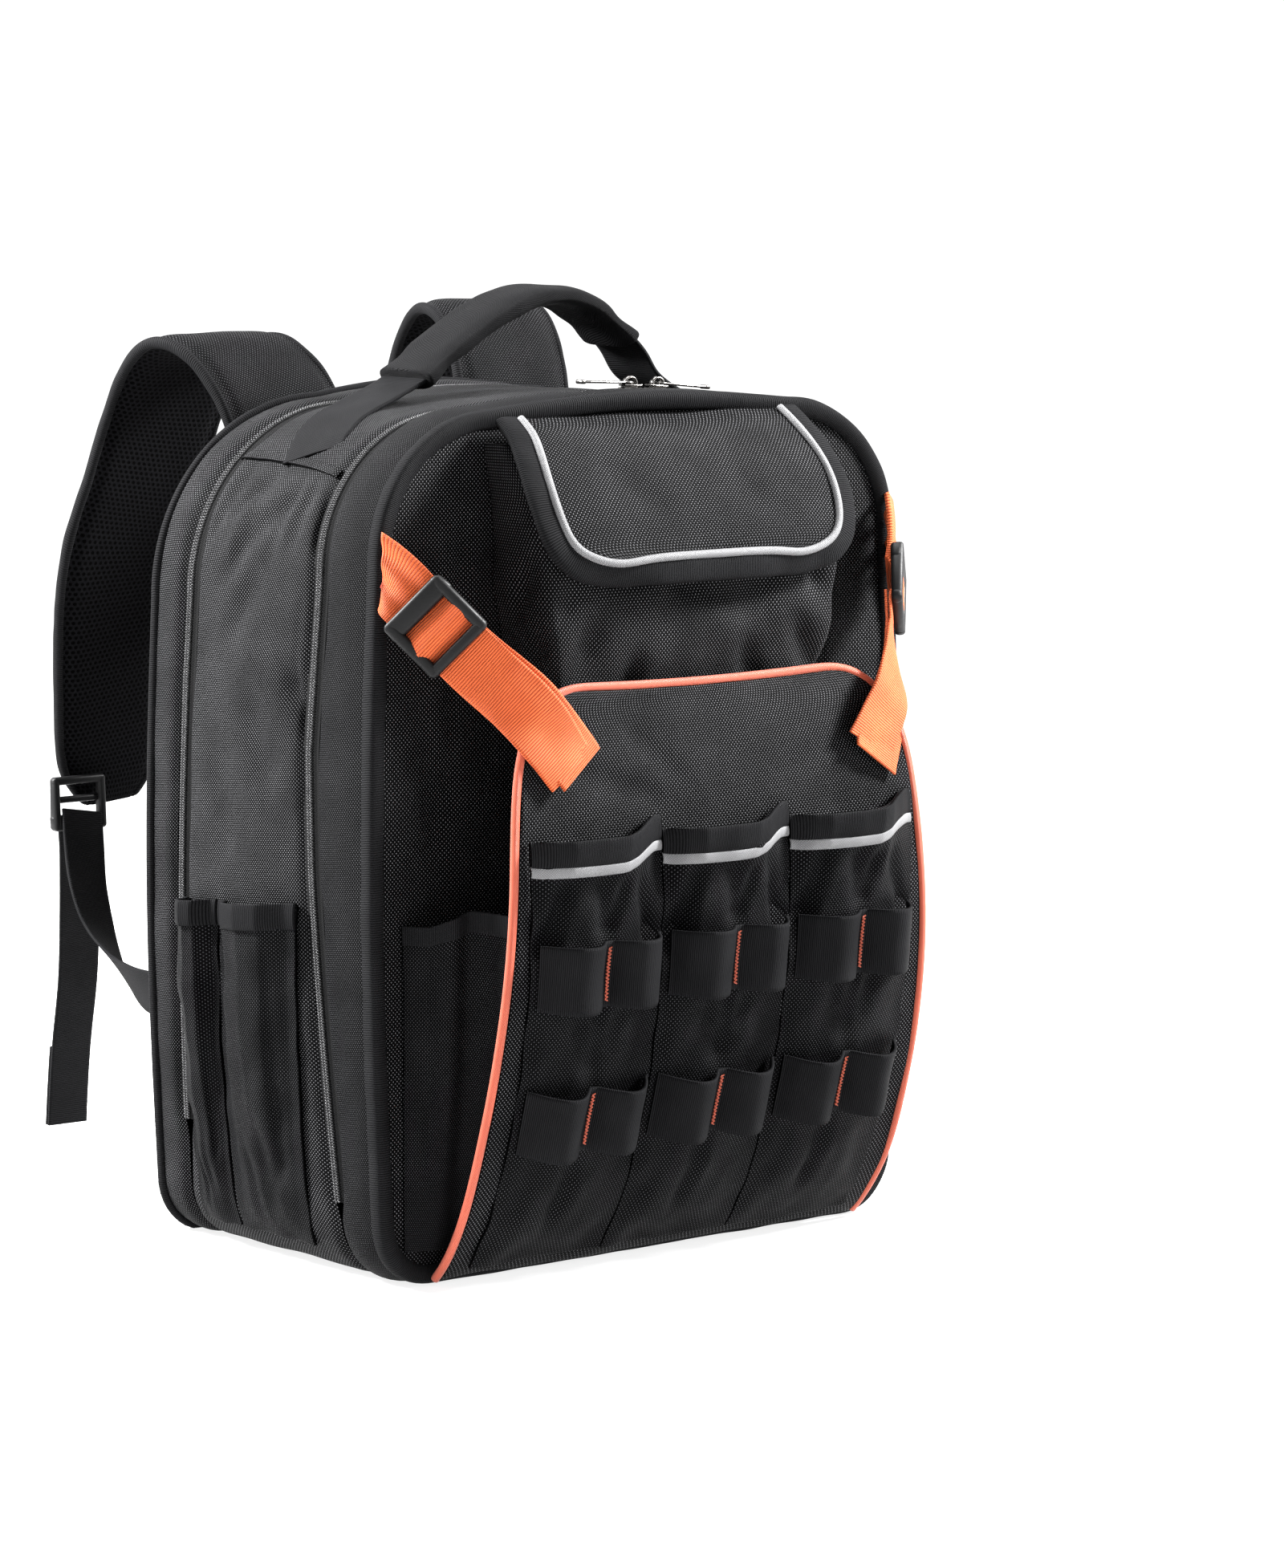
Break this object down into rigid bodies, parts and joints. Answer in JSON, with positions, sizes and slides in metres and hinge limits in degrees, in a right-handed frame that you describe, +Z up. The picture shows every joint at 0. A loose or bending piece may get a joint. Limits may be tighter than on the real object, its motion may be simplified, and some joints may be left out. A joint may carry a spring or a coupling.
{
  "type": "tool backpack",
  "caption": "Black nylon tool backpack with zipped compartments, a flap pocket, a leaning outer pocket with tool loops, side pockets, padded shoulder straps and a top handle.",
  "frame": {"origin": "on the floor plane, in the middle of the base of the body", "axes": "+Z up, +X to the right seen from the front, front of the bag towards -Y"},
  "size_m": [0.3778, 0.488, 0.4908],
  "materials": {
    "black_nylon": "coarse ballistic nylon weave, low sheen",
    "black_webbing": "ribbed black webbing",
    "padding": "padded mesh and nylon",
    "orange_webbing": "ribbed orange webbing",
    "orange_piping": "cloth-covered cord piping, salmon orange",
    "reflective_piping": "light grey reflective piping",
    "zip_coil": "black nylon coil on tape",
    "black_plastic": "satin black moulded plastic",
    "dark_metal": "dark nickel, satin"
  },
  "bodies": {
    "bag": {"back_panel": "padding", "rear_gusset": "black_nylon", "main_shell": "black_nylon", "front_shell": "black_nylon", "front_binding": "black_webbing", "rear_zip": "zip_coil", "front_zip": "zip_coil", "top_pocket": "black_nylon", "top_flap": "black_nylon", "flap_binding": "black_webbing", "flap_piping": "reflective_piping", "tool_board": "black_nylon", "board_piping": "orange_piping", "board_pocket_1": "black_nylon", "mouth_binding_1": "black_webbing", "reflective_strip_1": "reflective_piping", "board_pocket_2": "black_nylon", "mouth_binding_2": "black_webbing", "reflective_strip_2": "reflective_piping", "board_pocket_3": "black_nylon", "mouth_binding_3": "black_webbing", "reflective_strip_3": "reflective_piping", "upper_loop_1": "black_webbing", "upper_loop_2": "black_webbing", "upper_loop_3": "black_webbing", "lower_loop_1": "black_webbing", "lower_loop_2": "black_webbing", "lower_loop_3": "black_webbing", "board_gusset_left": "black_nylon", "gusset_hem_left": "black_webbing", "board_gusset_right": "black_nylon", "gusset_hem_right": "black_webbing", "side_pocket_left_front": "black_nylon", "side_hem_left_front": "black_webbing", "side_pocket_right_front": "black_nylon", "side_hem_right_front": "black_webbing", "side_pocket_left_rear": "black_nylon", "side_hem_left_rear": "black_webbing", "side_pocket_right_rear": "black_nylon", "side_hem_right_rear": "black_webbing", "compression_strap_left": "orange_webbing", "compression_lock_left": "black_plastic", "compression_strap_right": "orange_webbing", "compression_lock_right": "black_plastic", "carry_handle": "black_webbing", "handle_grip": "padding", "shoulder_strap_left": "padding", "strap_lock_left": "black_plastic", "lower_webbing_left": "black_webbing", "strap_tail_left": "black_webbing", "shoulder_strap_right": "padding", "strap_lock_right": "black_plastic", "lower_webbing_right": "black_webbing", "strap_tail_right": "black_webbing", "zip_slider_1": "dark_metal", "zip_slider_2": "dark_metal"},
    "pull_1": {"zip_pull_1": "dark_metal"},
    "pull_2": {"zip_pull_2": "dark_metal"}
  },
  "joints": [
    {"name": "zip_pull_1_hinge", "type": "hinge", "parent": "bag", "child": "pull_1", "pos_m": [0.03017, -0.04998, 0.44232], "axis": [0, 1, 0], "range_deg": [0, 95]},
    {"name": "zip_pull_2_hinge", "type": "hinge", "parent": "bag", "child": "pull_2", "pos_m": [0.04841, -0.04998, 0.44142], "axis": [0, -1, 0], "range_deg": [0, 95]}
  ]
}
